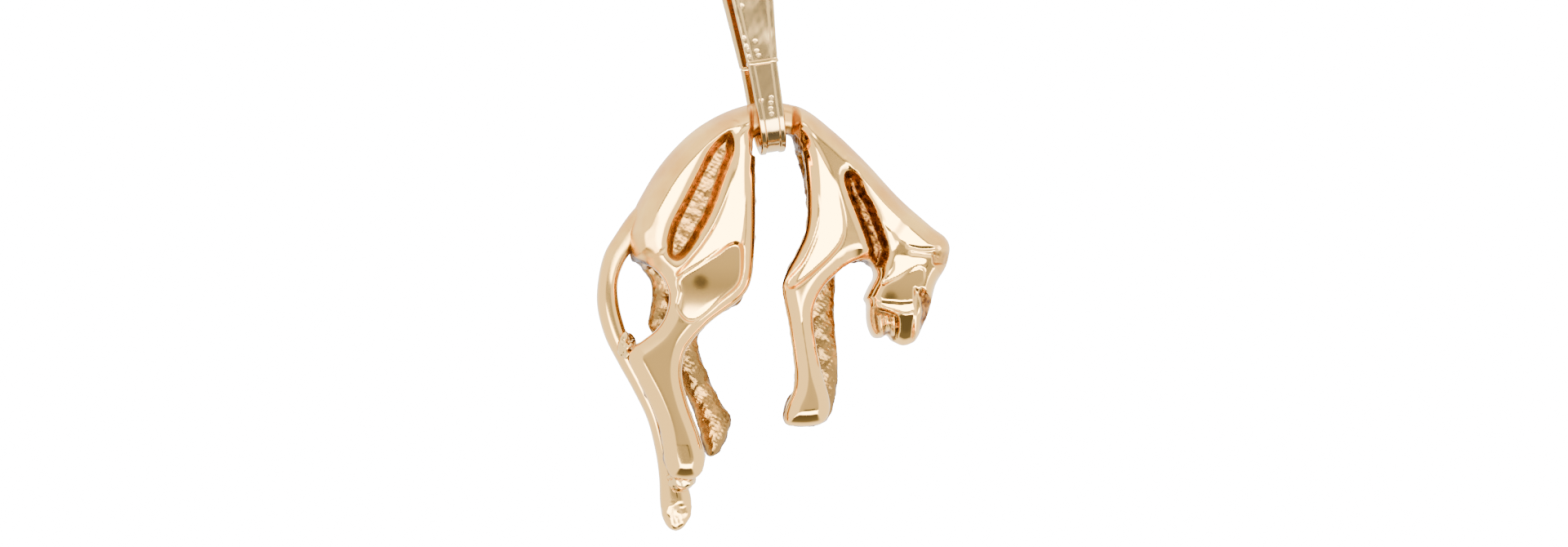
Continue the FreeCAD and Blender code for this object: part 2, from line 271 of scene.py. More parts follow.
def net_faces(inside: np.ndarray, index: np.ndarray, axis: int) -> np.ndarray:
    """Faces of a surface net across the grid edges that run along one axis.

    Args:
        inside: which samples are inside.
        index: the point number of each cell, or -1.
        axis: the axis of the edges.

    Returns:
        Faces (m, 4), wound to face outward.
    """
    first = np.take(inside, range(inside.shape[axis] - 1), axis=axis)
    second = np.take(inside, range(1, inside.shape[axis]), axis=axis)
    edges = np.argwhere(first != second)
    leaving = first[tuple(edges.T)]
    one, two = (np.eye(3, dtype=int)[(axis + s) % 3] for s in (1, 2))
    ring = [edges - one - two, edges - two, edges, edges - one]
    quads = np.stack([index[tuple(r.T)] for r in ring], axis=1)
    return np.where(leaving[:, None], quads, quads[:, ::-1])


def make_mesh(name: str, points: np.ndarray, *faces: np.ndarray,
              normals: np.ndarray | None = None,
              marks: dict[str, np.ndarray] | None = None) -> bpy.types.Object:
    """A smooth-shaded mesh object at the row's origin.

    Args:
        name: the piece's name.
        points: points (n, 3) in millimetres.
        *faces: one or more arrays of faces, (m, 3) or (m, 4).
        normals: a shading normal for each point, or None for the faces' own.
        marks: named values from 0 to 1, one for each point.

    Returns:
        The new object.
    """
    mesh = bpy.data.meshes.new(name)
    mesh.from_pydata((points * MM).tolist(), [], sum((f.tolist() for f in faces), []))
    mesh.polygons.foreach_set("use_smooth", np.ones(len(mesh.polygons), bool))
    for mark, values in (marks or {}).items():
        layer = mesh.attributes.new(mark, "FLOAT", "POINT")
        layer.data.foreach_set("value", np.clip(values, 0, 1).astype(np.float32))
    if normals is not None:
        mesh.normals_split_custom_set_from_vertices(normals.tolist())
    mesh.update()
    piece = bpy.data.objects.new(name, mesh)
    bpy.context.scene.collection.objects.link(piece)
    LOG.info("%s: %d points, %d faces", name, len(points), len(mesh.polygons))
    return piece


def grid_faces(rows: int, columns: int) -> np.ndarray:
    """Four-sided faces over a tube's points, numbered ring by ring.

    Args:
        rows: rings along the tube.
        columns: points in a ring.

    Returns:
        Faces (m, 4).
    """
    i, j = np.meshgrid(np.arange(rows - 1), np.arange(columns), indexing="ij")
    i, j = i.ravel(), j.ravel()
    k = (j + 1) % columns
    return np.stack([i * columns + j, i * columns + k, (i + 1) * columns + k,
                     (i + 1) * columns + j], axis=1)


def waves(p: np.ndarray, scale: float, seed: int, octaves: int = 3) -> np.ndarray:
    """Smooth repeatable unevenness: a sum of sines along seeded directions.

    f(p) = sum over octaves o and directions k of sin(2^o k.p / scale + phase) / 2^o.

    Args:
        p: points (..., 3) in millimetres.
        scale: size of the largest undulation.
        seed: seed of the directions and phases.
        octaves: how many finer layers are added.

    Returns:
        Values of about -1 to 1, one for each point.
    """
    rng = np.random.default_rng(seed)
    total = np.zeros(p.shape[:-1])
    for octave in range(octaves):
        ways = rng.normal(size=(5, 3))
        ways /= np.linalg.norm(ways, axis=1)[:, None]
        phase = rng.uniform(0, 2 * np.pi, 5)
        wave = np.sin(p @ ways.T * (2**octave * 2 * np.pi / scale) + phase)
        total += wave.mean(-1) / 2**octave * 1.6
    return total


# ---------------------------------------------------------------- the cat's outlines
@dataclass(frozen=True)
class Outline:
    """The side view of one cast half, as smooth runs that meet at corners.

    Every run is a few points about the swing centre; the near and far halves share the
    back, head and notch and have their own legs.
    """

    back: Points = (
        (-7.50, -5.45), (-7.10, -4.50), (-5.95, -2.60), (-4.50, -1.00), (-3.10, 0.00),
        (-1.60, 0.65), (0.00, 0.95), (1.85, 0.63), (3.60, -0.63), (5.40, -2.30), (7.20, -4.20),
        (9.00, -5.80), (9.85, -6.45), (10.12, -7.05), (10.02, -7.75))
    face: Points = (
        (10.02, -7.75), (9.85, -8.20), (9.35, -9.05), (9.10, -9.95), (8.90, -10.70),
        (8.30, -12.05), (7.90, -12.38), (7.45, -12.45), (6.97, -12.24))
    jaw: Points = (
        (6.97, -12.24), (6.61, -11.90), (6.30, -12.05), (5.89, -12.01), (5.62, -11.55),
        (5.50, -10.93), (5.50, -10.20), (5.36, -9.85), (5.60, -9.25), (5.88, -8.70),
        (5.80, -8.20), (5.40, -7.90))
    throat: Points = (
        (5.40, -7.90), (4.75, -7.85), (4.00, -8.25))
    near_fore: Points = (
        (4.00, -8.25), (2.97, -9.27), (2.38, -10.53), (2.48, -12.20), (2.83, -13.99),
        (3.20, -15.30), (3.24, -16.16), (2.89, -16.74), (2.29, -16.92), (1.62, -16.96),
        (0.99, -16.88), (0.74, -16.50), (0.88, -15.79), (1.26, -14.85), (1.30, -13.54),
        (0.99, -11.29), (0.65, -9.50), (0.85, -8.55), (1.45, -7.38), (1.93, -6.12),
        (2.00, -4.32), (1.80, -2.29), (1.40, -0.98))
    far_fore: Points = (
        (4.00, -8.25), (3.95, -9.20), (3.90, -10.10), (3.92, -11.34), (4.10, -13.50),
        (4.05, -14.71), (3.85, -15.84), (3.50, -16.56), (2.83, -16.86), (2.02, -16.92),
        (1.30, -16.79), (1.02, -16.38), (1.21, -15.48), (1.75, -14.67), (2.02, -13.37),
        (1.95, -11.34), (1.75, -9.40), (1.85, -8.40), (2.20, -7.30), (2.42, -6.12),
        (2.38, -4.50), (2.00, -2.50), (1.40, -0.98))
    notch: Points = (
        (1.40, -0.98), (1.00, -0.78), (0.30, -0.84), (-0.40, -0.84), (-0.80, -1.05))
    near_hind: Points = (
        (-0.80, -1.05), (-0.86, -2.75), (-0.84, -4.77), (-0.88, -7.02), (-1.08, -9.00),
        (-1.65, -9.99), (-2.52, -10.66), (-3.42, -11.34), (-4.23, -12.20), (-4.72, -13.00),
        (-4.86, -14.22), (-4.54, -15.66), (-3.92, -17.37), (-3.62, -18.54), (-3.70, -19.30),
        (-4.04, -19.76), (-4.54, -19.91), (-5.13, -19.87), (-5.58, -19.60), (-5.85, -18.81),
        (-6.08, -17.23), (-6.61, -15.79), (-7.25, -14.54), (-7.68, -13.68), (-7.76, -13.10),
        (-7.47, -12.60))
    far_hind: Points = (
        (-0.80, -1.05), (-0.86, -2.75), (-0.84, -4.77), (-0.88, -7.02), (-1.20, -9.80),
        (-2.11, -10.48), (-3.01, -11.16), (-3.66, -11.90), (-3.62, -12.75), (-3.01, -14.40),
        (-2.33, -15.71), (-1.95, -16.15), (-1.89, -16.90), (-2.29, -18.00), (-2.72, -18.52),
        (-3.10, -18.58), (-3.36, -18.20), (-3.60, -17.19), (-4.05, -15.84), (-4.72, -14.49),
        (-5.54, -13.50), (-6.05, -12.96), (-6.30, -12.42), (-6.25, -11.79))
    flank: Points = (
        (-6.84, -12.15), (-6.21, -11.61), (-5.76, -10.89), (-5.58, -9.95), (-5.80, -9.09),
        (-6.40, -8.37), (-7.00, -7.98), (-7.50, -7.70), (-7.75, -6.60), (-7.50, -5.45))
    far_flank: Points = (
        (-6.48, -11.30), (-6.36, -10.50), (-6.24, -9.60), (-6.36, -8.90), (-6.75, -8.35),
        (-7.15, -7.98), (-7.50, -7.70), (-7.75, -6.60), (-7.50, -5.45))

    def run(self, side: Side) -> np.ndarray:
        """The whole closed outline of one half.

        Args:
            side: which half.

        Returns:
            Corner points (n, 2) in order.
        """
        near = side is Side.NEAR
        fore = self.near_fore if near else self.far_fore
        hind = self.near_hind if near else self.far_hind
        flank = (hind[-1],) + (self.flank if near else self.far_flank)
        parts = (self.back, self.face, self.jaw, self.throat, fore, self.notch, hind, flank)
        return np.vstack([smooth_run(p)[:-1] for p in parts])


@dataclass(frozen=True)
class Facet:
    """A facet of the outer face: its outline, and the plane or low dome that it lies in."""

    outline: Points
    level: float
    rise: float
    slant: float = 0.0
    soft: float = 0.14
    curved: bool = True
    dome: float = 0.0

    def lay(self, plane: Plane, face: np.ndarray) -> np.ndarray:
        """Blends the facet into the outer face.

        The facet's depth is level + rise (z - middle z) + slant (x - middle x) - dome r^2,
        r being the distance from its middle.

        Args:
            plane: the grid.
            face: distance of the outer face from the mid-plane.

        Returns:
            The face with the facet in it.
        """
        dx, dz = (g - m for g, m in zip(plane.points(), np.mean(self.outline, axis=0)))
        flat = self.level + self.rise * dz + self.slant * dx - self.dome * (dx**2 + dz**2)
        mask = plane.region(self.outline, self.soft, self.curved)
        return face + (flat - face) * mask


@dataclass(frozen=True)
class Relief:
    """Outlines of the modelled detail on a half's outer face, about the swing centre."""

    hip_groove: Points = (
        (-2.20, -0.95), (-2.08, -2.00), (-2.50, -3.20), (-3.08, -4.90), (-3.85, -6.45),
        (-4.60, -7.60), (-5.20, -7.98), (-5.68, -7.70), (-5.78, -7.00), (-5.50, -5.90),
        (-4.85, -4.60), (-4.15, -3.15), (-3.40, -1.75), (-2.65, -0.98))
    shoulder_groove: Points = (
        (4.10, -2.95), (4.75, -3.05), (5.25, -4.10), (5.78, -5.00), (6.18, -6.00),
        (6.50, -6.85), (6.58, -7.40), (6.38, -8.05), (5.95, -8.30), (5.50, -7.75),
        (5.10, -6.55), (4.58, -5.25), (4.15, -4.20), (3.95, -3.45))
    haunch: Facet = Facet(
        ((-0.95, -0.75), (-1.80, -1.10), (-1.88, -2.50), (-2.25, -4.00), (-2.95, -5.80),
         (-3.70, -7.05), (-4.60, -8.15), (-5.15, -8.72), (-4.00, -8.08), (-3.00, -7.40),
         (-2.20, -6.88), (-1.68, -6.95), (-1.48, -4.50), (-1.18, -2.50)),
        level=2.20, rise=0.105)
    thigh: Facet = Facet(
        ((-5.05, -8.95), (-4.00, -8.25), (-3.00, -7.60), (-2.25, -7.08), (-1.78, -7.12),
         (-1.68, -7.80), (-1.85, -9.10), (-2.80, -10.00), (-4.30, -11.20), (-5.10, -10.60),
         (-5.00, -9.70)),
        level=1.90, rise=-0.010, slant=-0.04, dome=0.020)
    shoulder: Facet = Facet(
        ((1.45, -0.90), (2.05, -2.00), (2.43, -3.20), (2.62, -4.70), (2.57, -6.12),
         (1.85, -7.90), (0.98, -9.00), (1.30, -9.25), (3.20, -7.60), (3.90, -6.40),
         (3.75, -4.90), (3.20, -3.20), (1.95, -1.00)),
        level=2.22, rise=0.105)
    temple: Facet = Facet(
        ((6.95, -7.70), (7.60, -7.58), (8.40, -7.58), (8.48, -8.05), (8.05, -8.12),
         (7.40, -8.50), (6.70, -9.00), (6.25, -9.15), (6.30, -8.95), (6.80, -8.40)),
        level=1.66, rise=0.13, soft=0.10)
    cheek: Facet = Facet(
        ((6.30, -9.22), (7.30, -8.72), (8.05, -8.30), (8.40, -8.35), (8.40, -9.00),
         (8.05, -9.30), (7.98, -9.98), (7.20, -10.10), (6.10, -9.98), (6.02, -9.60)),
        level=1.72, rise=-0.03, slant=-0.03, soft=0.10, dome=0.020)
    lip: Facet = Facet(
        ((5.90, -10.12), (7.20, -10.24), (7.92, -10.14), (7.90, -10.60), (7.50, -10.75),
         (6.30, -10.40)),
        level=1.56, rise=0.24, soft=0.08, curved=False)
    muzzle: Facet = Facet(
        ((6.96, -10.84), (7.94, -10.70), (7.96, -12.60), (7.04, -12.60)),
        level=1.06, rise=0.54, soft=0.06, curved=False)
    eye_rim: Facet = Facet(
        ((7.99, -9.40), (8.25, -9.60), (8.30, -11.80), (8.20, -12.30), (7.99, -12.30)),
        level=1.46, rise=0.02, slant=-0.10, soft=0.08, curved=False)
    ear: Facet = Facet(
        ((8.98, -7.42), (9.84, -7.36), (9.86, -7.94), (9.06, -7.98)),
        level=1.50, rise=0.52, soft=0.08, curved=False)
    mouth: Points = (
        (5.55, -10.55), (6.90, -10.85), (6.98, -12.10), (6.60, -12.20), (5.80, -12.10),
        (5.55, -11.40))
    eye: Points = (
        (8.28, -9.45), (8.62, -9.62), (9.05, -9.98), (8.95, -10.40), (8.75, -11.00),
        (8.58, -11.72), (8.36, -11.62), (8.36, -10.40))
    collar: Points = (
        (-1.95, -0.40), (-3.40, -0.60), (-6.60, -4.40), (-7.10, -7.20), (-6.00, -7.40),
        (-5.00, -5.20), (-3.60, -1.95), (-2.00, -1.10))
    neck: Points = (
        (4.10, -2.20), (5.40, -3.00), (8.00, -5.60), (10.20, -6.60), (9.40, -7.20),
        (7.60, -6.95), (6.10, -5.60), (4.80, -3.40))
    rump: Points = (
        (-8.40, -5.30), (-7.00, -4.30), (-6.45, -5.40), (-6.50, -6.95), (-6.10, -8.40),
        (-7.10, -8.10), (-8.20, -7.60))
    rear_open: Points = (
        (-6.40, -8.30), (-5.40, -5.60), (-3.40, -2.10), (-1.75, -1.80), (-0.60, -2.20),
        (-0.20, -9.00), (-0.20, -21.00), (-9.20, -21.00), (-9.20, -9.20))
    front_open: Points = (
        (2.60, -1.80), (3.60, -2.30), (4.60, -3.80), (5.20, -6.20), (4.90, -7.40),
        (4.60, -9.00), (4.80, -18.00), (-1.00, -18.00), (-1.00, -8.60), (0.60, -5.00),
        (0.80, -2.60))
    head: Points = (
        (6.60, -7.60), (7.40, -6.60), (8.60, -5.40), (11.50, -6.90), (11.50, -13.50),
        (4.90, -13.50), (4.90, -9.30), (5.90, -8.70))
    waist: Points = (
        (-0.95, 2.40), (-0.95, -1.90), (1.28, -1.90), (1.28, 2.40))
    tooth_lines: tuple[Points, ...] = (
        ((5.62, -10.45), (5.68, -11.30), (5.86, -11.82), (6.20, -11.95)),
        ((6.02, -10.90), (6.10, -11.45), (6.20, -11.72)),
        ((6.42, -10.95), (6.52, -11.60)),
        ((6.80, -11.00), (6.86, -11.85)),
    )
    brow_lines: tuple[Points, ...] = (
        ((7.60, -7.08), (8.30, -7.20), (9.25, -7.16)),
        ((7.75, -7.42), (8.40, -7.48), (8.95, -7.50)),
    )


# ---------------------------------------------------------------- the cast halves
def unit(v: np.ndarray) -> np.ndarray:
    """Vectors scaled to length 1; a zero vector stays zero."""
    return v / np.maximum(np.linalg.norm(v, axis=-1, keepdims=True), 1e-9)


def gradient(p: np.ndarray, value: Callable[[np.ndarray], np.ndarray],
             step: float = 0.02) -> np.ndarray:
    """Gradient of a function at points (n, 3), by differences a step to either side."""
    shifts = np.eye(3) * step
    return np.stack([value(p + s) - value(p - s) for s in shifts], -1) / (2 * step)


def settle(p: np.ndarray, value: Callable[[np.ndarray], np.ndarray],
           pitch: float) -> np.ndarray:
    """Moves points onto the surface value = 0: p - value g / |g|^2, three times.

    Args:
        p: points (n, 3) near the surface.
        value: the function.
        pitch: the net's spacing, which limits each move to 0.4 of itself.

    Returns:
        The moved points.
    """
    for _ in range(3):
        g = gradient(p, value)
        move = -(value(p) / np.maximum((g * g).sum(1), 1e-6))[:, None] * g
        far = np.maximum(np.linalg.norm(move, axis=1) / (0.4 * pitch), 1)
        p = p + move / far[:, None]
    return p


@dataclass(frozen=True)
class CastHalf:
    """One cast half of the cat: a hollow-backed shell with a modelled outer face.

    Depths are measured from the mid-plane. The band is the brushed strip along the back,
    the edge is the bevel inside the rest of the outline, and the lip is the raised rim of a
    groove. The plane holds the side view's fields, and the net the solid's samples.
    """

    name: str
    side: Side
    node: str
    outline: Outline = Outline()
    relief: Relief = Relief()
    depth: float = 2.62
    inner: float = 0.90
    head_depth: float = 1.72
    waist_depth: float = 1.00
    thigh_lean: float = 0.045
    leg_lean: float = 0.050
    neck_taper: float = 0.10
    strip_tilt: float = 0.14
    mouth_depth: float = 0.34
    tooth: tuple[float, float] = (0.26, 0.12)
    brow: tuple[float, float] = (-0.12, 0.09)
    band_width: float = 1.05
    band_drop: float = 0.70
    edge_width: float = 0.65
    edge_drop: float = 0.22
    lip_width: float = 0.28
    lip_drop: float = 0.09
    groove_depth: float = 0.75
    groove_wall: float = 0.50
    eye_depth: float = 0.42
    eye_wall: float = 0.14
    round_width: float = 0.95
    squareness: float = 2.3
    lump_height: float = 0.05
    lump_size: float = 0.80
    plane: Plane = Plane(low=(-8.3, -20.4), high=(10.6, 1.4), pitch=0.05)
    net_low: tuple[float, float, float] = (-8.2, -0.15, -20.3)
    net_size: tuple[float, float, float] = (18.7, 3.3, 21.6)
    pitch: float = 0.078

    def fields(self) -> dict[str, np.ndarray]:
        """Everything that varies over the side view.

        Returns:
            inset: distance in from the outline; edge: width of the rounded edge;
                outer and inner: distances of the two faces from the mid-plane;
                rough, satin, wall: finish masks; painted_shade: the painted shade of the
                recesses.
        """
        r, plane = self.relief, self.plane
        gz = plane.points()[1]
        inset = plane.distance(self.outline.run(self.side), closed=True, reach=30.0)
        back = plane.distance(smooth_run(self.outline.back), reach=30.0)
        hip, shoulder, eye = (plane.distance(smooth_run(g, closed=True), closed=True)
                              for g in (r.hip_groove, r.shoulder_groove, r.eye))
        groove = np.maximum(hip, shoulder)
        head = plane.region(r.head, 0.9)
        waist = plane.region(r.waist, 0.32, curved=False)
        opening = np.maximum(plane.region(r.rear_open, 0.7), plane.region(r.front_open, 0.7))
        opening = opening * (1 - plane.region(r.head, 0.4)) * (1 - waist)

        outer = self.main_face(head, back)
        band = np.clip(1 - back / self.band_width, 0, 1)
        body = 1 - opening * ease((-gz - 9.0) / 2.0)
        outer -= self.band_drop * band * (1 - 0.45 * head) * body
        bevel = np.clip(1 - inset / self.edge_width, 0, 1) * (back > self.band_width)
        outer -= self.edge_drop * plane.blur(bevel, 0.05)
        lip = np.clip(1 + np.minimum(groove, 0) / self.lip_width, 0, 1)
        outer -= self.lip_drop * lip
        outer -= self.groove_depth * ease(groove / self.groove_wall + 0.10)
        outer = self.face_detail(outer)
        outer -= self.eye_depth * ease(eye / self.eye_wall + 0.5)
        outer = plane.blur(outer * (1 - waist) + self.waist_depth * waist, 0.045)

        # Painted shade darkens the grooves' walls, the shoulder groove's floor, the eyes' rims
        # and the mouth, over the cast skin of the groove floors and eyes.
        floor = np.maximum.reduce([0.78 * ease(hip / 0.3 + 0.2), ease(shoulder / 0.2 + 0.3),
                                   ease(eye / 0.1 + 0.5)])
        stain_and_shade = (0.20 * np.exp(-((groove - 0.15) / 0.18) ** 2)
                 + 0.4 * np.exp(-(eye / 0.08) ** 2))
        stain_and_shade = np.maximum(stain_and_shade, 0.5 * ease(shoulder / 0.3))
        tooth = np.minimum.reduce([plane.distance(smooth_run(t)) for t in r.tooth_lines])
        gums = plane.region(r.mouth, 0.1) * ease((tooth - 0.07) / 0.1)
        ear = plane.region(r.ear.outline, 0.12, curved=False)
        # The back, the rump and the waist are brushed, with the steps beside the waist.
        step = plane.blur(4 * waist * (1 - waist), 0.08)
        satin = np.maximum.reduce([ease((self.band_width - back) / 0.10),
                                   plane.region(r.rump, 0.3), waist, step])
        muzzle = plane.region(r.muzzle.outline, 0.2, curved=False)
        width = self.round_width - 0.25 * head - 0.35 * waist - 0.30 * muzzle
        return {"inset": inset, "edge": plane.blur(width, 0.15), "outer": outer,
                "inner": opening * (outer + self.inner) - outer,
                "rough": np.maximum.reduce([floor, 0.9 * gums, 0.55 * ear]),
                "painted_shade": np.maximum(stain_and_shade, 0.65 * gums), "satin": satin,
                "wall": ease((0.18 - inset) / 0.14) * ease((back - 0.7) / 0.4) * (1 - head)}

    def main_face(self, head: np.ndarray, back: np.ndarray) -> np.ndarray:
        """The outer face before any detail: leaning facets for haunch, shoulder and legs.

        Going up by a millimetre, the thigh comes out by its lean and the leg goes in by its
        own; going forward by one, the neck draws in by its taper.

        Args:
            head: the head's mask.
            back: distance from the back's outline.

        Returns:
            Distance of the outer face from the mid-plane.
        """
        r = self.relief
        gx, gz = self.plane.points()
        thigh = self.depth - 0.12 + self.thigh_lean * (gz + 1.0)
        leg = self.depth - 0.80 + self.leg_lean * np.clip(-gz - 7.0, 0, 11)
        face = np.maximum(thigh, leg) - self.neck_taper * np.clip(gx - 4.0, 0, 4.5)
        for facet in (r.haunch, r.thigh, r.shoulder):
            face = facet.lay(self.plane, face)
        side = self.head_depth + 0.02 * (gz + 9.0) - 0.015 * (gx - 7.5)
        for facet in (r.temple, r.cheek, r.lip, r.muzzle, r.eye_rim, r.ear):
            side = facet.lay(self.plane, side)
        face = face * (1 - head) + side * head
        strip = np.maximum(*(self.plane.region(s, 0.15) for s in (r.collar, r.neck)))
        across = np.clip(back - self.band_width, 0, 1.2) - 0.5
        return face - self.strip_tilt * strip * across

    def face_detail(self, outer: np.ndarray) -> np.ndarray:
        """Adds the mouth, teeth and brow to the outer face.

        Each tooth is a ridge and each brow line a groove, given by its height and width:
        height exp(-(d / width)^2) at distance d from its line.

        Args:
            outer: distance of the outer face from the mid-plane.

        Returns:
            The face with its detail.
        """
        r = self.relief
        outer = outer - self.mouth_depth * self.plane.region(r.mouth, 0.12)
        for lines, (height, width) in ((r.tooth_lines, self.tooth), (r.brow_lines, self.brow)):
            for line in lines:
                away = self.plane.distance(smooth_run(line))
                outer = outer + height * np.exp(-(away / width) ** 2)
        return outer

    def solid(self, f: dict[str, np.ndarray],
              clip: bool) -> Callable[[np.ndarray], np.ndarray]:
        """The half as a function that is positive inside.

        With t = max(edge - inset, 0) / edge across the outline and v = (|y| - middle) /
        half-thickness through the metal, the value is 1 - (t^p + |v|^p)^(1/p), p being the
        squareness, cut off at the mid-plane.

        Args:
            f: the fields.
            clip: whether to cut at the mid-plane.

        Returns:
            A function of points (n, 3), y being the distance from the mid-plane.
        """
        def value(p: np.ndarray) -> np.ndarray:
            """The solid's value at points.

            Args:
                p: points (..., 3).

            Returns:
                The value at each point.
            """
            x, y, z = p[..., 0], p[..., 1], p[..., 2]
            inset, edge, outer, inner = (self.plane.sample(f[k], x, z)
                                         for k in ("inset", "edge", "outer", "inner"))
            t = np.maximum(edge - inset, 0) / edge
            v = np.abs(y - (outer + inner) / 2) / np.maximum((outer - inner) / 2, 0.05)
            power = self.squareness
            whole = 1 - (t**power + v**power + 1e-9) ** (1 / power)
            return np.minimum(whole, y / 0.4) if clip else whole
        return value

    def lumps(self, p: np.ndarray) -> np.ndarray:
        """Height of the as-cast skin's lumps at points (n, 3)."""
        return self.lump_height * waves(p, self.lump_size, 11)

    def marks(self, f: dict[str, np.ndarray],
              p: np.ndarray) -> tuple[np.ndarray, dict[str, np.ndarray]]:
        """Where the metal is rough or brushed, and where painted shade darkens it.

        The as-cast skin and a mottled painted shade cover the inner face and the outline's
        walls;
        the marks of the outer face fade out 0.5 to 0.85 below it.

        Args:
            f: the fields.
            p: points (n, 3), y being the distance from the mid-plane.

        Returns:
            How lumpy each point is, and the finish and painted-shade marks by name.
        """
        rough, painted_shade, satin, wall, outer, inner = (
            self.plane.sample(f[k], p[:, 0], p[:, 2])
            for k in ("rough", "painted_shade", "satin", "wall", "outer", "inner"))
        v = (p[:, 1] - (outer + inner) / 2) / np.maximum((outer - inner) / 2, 0.05)
        inside = ease((-v - 0.05) / 0.30) * ease((inner + 0.4) / 0.5)
        deep = outer - p[:, 1]
        wall = wall * ease((deep - 0.42) / 0.25)
        rough, painted_shade = (mark * ease((0.85 - deep) / 0.35) for mark in (rough, painted_shade))
        # Painted shade: mottled over the inner face, and on the outline's walls.
        patches = inside * ease(waves(p, 2.4, 8) + 0.75)
        lumpy = np.maximum.reduce([rough, inside, wall])
        return lumpy, {"rough": np.maximum.reduce([rough, 0.72 * inside, wall]),
                       "satin": satin * (1 - lumpy),
                       "painted_shade": np.maximum.reduce([painted_shade, patches, 0.8 * wall])}

    def build(self) -> bpy.types.Object:
        """Nets the solid, settles the net on it, and raises lumps on the as-cast skin.

        Returns:
            The half's mesh object.
        """
        pitch = self.pitch * 1.0
        f = self.fields()
        cut, whole = self.solid(f, True), self.solid(f, False)
        low = np.array(self.net_low)
        axes = [start + pitch * np.arange(int(size / pitch))
                for start, size in zip(self.net_low, self.net_size)]
        values = cut(np.stack(np.meshgrid(*axes, indexing="ij"), -1))
        points, faces = surface_net(values, low, pitch)
        points = settle(points, cut, pitch)
        lumpy, marks = self.marks(f, points)
        raised = self.lumps(points) * lumpy * (points[:, 1] > 0.05)
        points = points - unit(gradient(points, whole, 0.03)) * raised[:, None]
        tip = gradient(points, self.lumps) * lumpy[:, None]
        normal = unit(-unit(gradient(points, whole, 0.03)) - 0.55 * tip)
        turn = np.array([1, self.side.value, 1])
        if self.side is Side.NEAR:
            faces = faces[:, ::-1]
        piece = make_mesh(self.name, points * turn + np.array(SWING), faces,
                          normals=normal * turn, marks=marks)
        dress(piece, CAST_GOLD, "panther", self.node)
        return piece


# ---------------------------------------------------------------- tail
@dataclass(frozen=True)
class Tail:
    """The tail: an oval bar carried along a curve in the mid-plane, swelling at the tip."""

    name: str = "tail_bar"
    node: str = "tail"
    path: Sequence[tuple[float, float, float, float]] = (
        (-6.10, -4.10, 0.30, 0.90), (-6.62, -4.90, 0.50, 1.10), (-7.20, -5.75, 0.62, 1.10),
        (-7.82, -6.70, 0.64, 1.00), (-8.45, -7.70, 0.60, 0.88), (-8.80, -8.95, 0.55, 0.80),
        (-8.80, -10.30, 0.60, 0.76), (-8.42, -11.80, 0.60, 0.72), (-7.78, -13.20, 0.54, 0.68),
        (-6.98, -14.75, 0.48, 0.64), (-6.25, -16.40, 0.42, 0.60), (-5.78, -18.10, 0.44, 0.60),
        (-5.34, -19.60, 0.66, 0.66), (-5.08, -20.90, 0.86, 0.70), (-5.05, -21.80, 0.78, 0.66),
        (-5.06, -22.30, 0.56, 0.52), (-5.06, -22.58, 0.30, 0.30), (-5.06, -22.68, 0.04, 0.04))
    melt_from: float = -21.10
    melt_height: float = 0.11
    square: float = 0.85
    columns: int = 56

    def build(self) -> bpy.types.Object:
        """Carries an oval section along the path and roughens the melted tip.

        The section is a slightly squared oval: its point at angle a has cos(a) across and
        sin(a) deep, each with its size raised to the power square.

        Returns:
            The tail's mesh object.
        """
        run = smooth_run(self.path, 14)
        centre, wide, deep = run[:, :2], run[:, 2], run[:, 3]
        ahead = np.gradient(centre, axis=0)
        ahead /= np.linalg.norm(ahead, axis=1)[:, None]
        across = np.stack([-ahead[:, 1], ahead[:, 0]], 1)
        a = np.linspace(0, 2 * np.pi, self.columns, endpoint=False)
        c, s = (np.sign(q) * np.abs(q) ** self.square for q in (np.cos(a), np.sin(a)))
        x = centre[:, 0, None] + across[:, 0, None] * wide[:, None] * c
        z = centre[:, 1, None] + across[:, 1, None] * wide[:, None] * c
        y = deep[:, None] * s
        points = np.stack([x, y, z], -1)
        middle = np.stack([centre[:, 0], 0 * wide, centre[:, 1]], -1)[:, None, :]
        out = points - middle
        out /= np.maximum(np.linalg.norm(out, axis=-1), 1e-6)[..., None]
        low = ease((self.melt_from - z) / 0.25) * ease((-out[..., 1] + 0.1) / 0.5)
        rise = self.melt_height * waves(points, 1.1, 5, 2) * low
        points = points + out * rise[..., None]
        rows, columns = x.shape
        flat = np.vstack([points.reshape(-1, 3), middle[0], middle[-1]])
        lows = np.append(low.ravel(), [0, 0])
        high = np.append(ease((z + 9.5) / 3.0).ravel(), [1, 0])
        piece = make_mesh(self.name, flat + np.array(SWING), grid_faces(rows, columns),
                          fans(rows, columns),
                          marks={"melt": lows, "satin": high * (1 - lows)})
        dress(piece, CAST_GOLD, "panther", self.node)
        return piece


def fans(rows: int, columns: int) -> np.ndarray:
    """Triangles that close both ends of a tube with a pole point each.

    Args:
        rows: rings in the tube.
        columns: points in a ring; the two poles are numbered after the last ring.

    Returns:
        Faces (2 columns, 3).
    """
    j = np.arange(columns)
    k = (j + 1) % columns
    first = rows * columns + 0 * j
    end = (rows - 1) * columns
    return np.vstack([np.stack([first, k, j], 1),
                      np.stack([first + 1, end + j, end + k], 1)])


